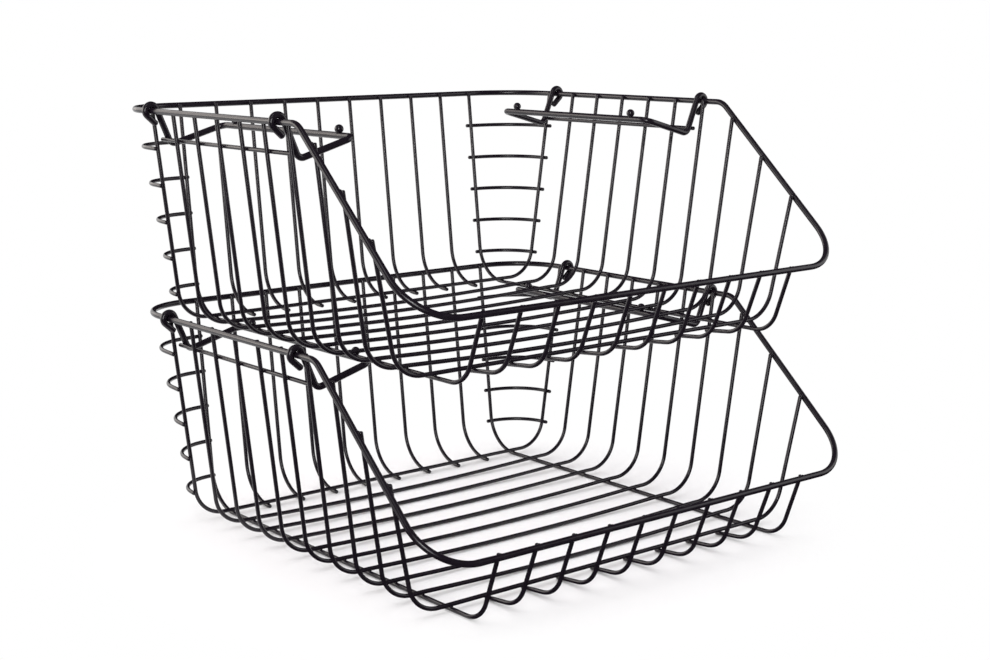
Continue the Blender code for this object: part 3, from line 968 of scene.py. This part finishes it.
class WIRE_TRAY_OT_ball_studs(TrayOperator, bpy.types.Operator):
    """Turn the ball studs that keep the tray above from sliding"""
    bl_idname = "wire_tray.ball_studs"
    bl_label = "Turn Ball Studs"

    def make(self, plan):
        for word, side in SIDES.items():
            arm = f"{plan.prefix}_{word}"
            for place, foot in plan.stud_places(side).items():
                bench = ball_bench(plan.wires, plan.brackets, foot)
                stud = f"{arm}_{place}_stud"
                finish_piece(f"{stud}_ball", [bench], f"{arm}_bail", [stud])


class WIRE_TRAY_OT_welds(TrayOperator, bpy.types.Operator):
    """Set a bead wherever two wires are welded"""
    bl_idname = "wire_tray.welds"
    bl_label = "Weld Crossings"

    def make(self, plan):
        def thin(route):
            """The line and gauge of a mesh wire."""
            return route.line(), plan.wires.mesh_wire

        rim = (plan.rim().line(), plan.wires.rim_wire)
        crosses = [thin(plan.cross_wire(index)) for index in range(plan.basket.cross_count)]
        runners = {side: thin(plan.runner(side)) for side in SIDES.values()}
        rears = [thin(plan.rear_wire(index)) for index in plan.inner_wires()]
        uprights = [thin(plan.upright(index)) for index in plan.inner_wires()]
        pairs = [(rim, wire) for wire in crosses + rears + uprights + list(runners.values())]
        pairs += [(crosses[0], wire) for wire in rears]
        pairs += [(crosses[-1], wire) for wire in uprights]
        for side, runner in runners.items():
            pairs += [(cross, runner) for cross in crosses]
            arcs = [thin(arc) for arc in plan.corner_arcs(side)]
            pairs += [(wire, arc) for arc in arcs for wire in (runner, crosses[0])]
            stop = thin(plan.stop_wire(side))
            pairs += [(cross, stop) for cross in crosses[1:plan.brackets.span_wires]]
        bench = bmesh.new()
        for first, second in pairs:
            add_beads(bench, first, second)
        finish_piece(f"{plan.prefix}_weld_beads", [bench], f"{plan.prefix}_tray")


class WIRE_TRAY_OT_studio(bpy.types.Operator):
    """Set up the white paper, the soft lamps and the camera"""
    bl_idname = "wire_tray.studio"
    bl_label = "Set Up Studio"
    bl_options = {"REGISTER", "UNDO"}

    def execute(self, context):
        studio = context.scene.wire_tray.studio
        context.scene.view_settings.view_transform = "Standard"
        white_room(studio)
        self.lay_paper(studio)
        black = card_material("black_card", "ShaderNodeBsdfDiffuse", {"Color": MATT_BLACK})
        for name in BLACK_CARDS:
            self.hang_card(name, black)
        self.hang_ceiling(black)
        for name in BRIGHT_CARDS:
            light = {"Color": WHITE, "Strength": getattr(studio, name)}
            self.hang_card(name, card_material(name, "ShaderNodeEmission", light))
        for name in LAMPS:
            self.hang_lamp(name, getattr(studio, f"{name}_power"))
        self.set_camera(studio, context.scene)
        return {"FINISHED"}

    def lay_paper(self, studio):
        """White paper under the trays."""
        bench = bmesh.new()
        bmesh.ops.create_grid(bench, x_segments=1, y_segments=1, size=PAPER_HALF)
        stage_piece("paper", bench, white_paper(studio))

    def hang_card(self, name, material):
        """One card, spun round the trays from its profile."""
        profile, start, turn = CARDS[name]
        bench = bmesh.new()
        corners = [bmesh.ops.create_vert(bench, co=(reach, 0, height))["vert"][0]
                   for reach, height in profile]
        edges = [bench.edges.new(pair) for pair in zip(corners, corners[1:])]
        bmesh.ops.rotate(
            bench, verts=corners, matrix=Matrix.Rotation(math.radians(start), 3, "Z"))
        bmesh.ops.spin(
            bench, geom=corners + edges, cent=(0, 0, 0), axis=UP, angle=math.radians(turn),
            steps=CARD_STEPS, use_duplicate=False)
        hide_card(stage_piece(name, bench, material))

    def hang_ceiling(self, material):
        """Black card overhead, which keeps the tops of the wires dark."""
        bench = bmesh.new()
        bmesh.ops.create_circle(
            bench, cap_ends=True, segments=CEILING_SIDES, radius=CEILING_RADIUS,
            matrix=Matrix.Translation(UP * CEILING_HEIGHT))
        hide_card(stage_piece("ceiling_card", bench, material))

    def hang_lamp(self, name, energy):
        """One soft rectangular lamp."""
        place, aim, size, colour = LAMPS[name]
        light = bpy.data.lights.new(f"{name}_lamp", "AREA")
        light.shape = "RECTANGLE"
        light.size, light.size_y = size
        light.energy, light.color = energy, colour
        lamp = add_object(f"{name}_lamp", light)
        lamp.location = place
        way = Vector(aim) - Vector(place)
        lamp.rotation_euler = way.to_track_quat("-Z", "Y").to_euler()
        lamp.visible_glossy = name != UNMIRRORED_LAMP

    def set_camera(self, studio, scene):
        """Camera at the photograph's place."""
        data = bpy.data.cameras.new("camera")
        data.sensor_width = SENSOR_WIDTH
        data.lens = studio.lens
        data.clip_start, data.clip_end = CLIP_NEAR, CLIP_FAR
        turn = Matrix.Rotation(studio.camera_azimuth, 3, "Z")
        look = Matrix.Rotation(math.pi / 2 - studio.camera_elevation, 3, "X")
        roll = Matrix.Rotation(studio.camera_roll, 3, "Z")
        facing = (turn @ look @ roll).to_4x4()
        camera = add_object("camera", data)
        camera.matrix_world = Matrix.Translation(studio.camera_place) @ facing
        scene.camera = camera


STEPS = (
    "rims", "cross_wires", "uprights", "runners", "corner_arcs", "rear_wires", "stop_wires",
    "brackets", "ball_studs", "welds", "studio",
)


class WIRE_TRAY_PT_panel(bpy.types.Panel):
    """Sizes, finish and steps of the wire trays"""
    bl_idname = "WIRE_TRAY_PT_panel"
    bl_label = "Wire Tray"
    bl_space_type = "VIEW_3D"
    bl_region_type = "UI"
    bl_category = "Wire Tray"

    def draw(self, context):
        settings = context.scene.wire_tray
        for step in STEPS:
            self.layout.operator(f"wire_tray.{step}")
        for group in ("wires", "basket", "brackets", "coat", "studio"):
            box = self.layout.box()
            box.label(text=group.title())
            values = getattr(settings, group)
            for name in values.__annotations__:
                box.prop(values, name)


CLASSES = (
    WireSettings, BasketSettings, BracketSettings, CoatSettings, StudioSettings, TraySettings,
    WIRE_TRAY_OT_rims, WIRE_TRAY_OT_cross_wires, WIRE_TRAY_OT_uprights,
    WIRE_TRAY_OT_runners, WIRE_TRAY_OT_corner_arcs, WIRE_TRAY_OT_rear_wires,
    WIRE_TRAY_OT_stop_wires, WIRE_TRAY_OT_brackets, WIRE_TRAY_OT_ball_studs,
    WIRE_TRAY_OT_welds, WIRE_TRAY_OT_studio, WIRE_TRAY_PT_panel,
)


def register():
    for kind in CLASSES:
        bpy.utils.register_class(kind)
    bpy.types.Scene.wire_tray = PointerProperty(type=TraySettings)


def unregister():
    del bpy.types.Scene.wire_tray
    for kind in reversed(CLASSES):
        bpy.utils.unregister_class(kind)


def main():
    """Makes every piece and the studio."""
    register()
    for step in STEPS:
        getattr(bpy.ops.wire_tray, step)()


if __name__ == "__main__":
    main()
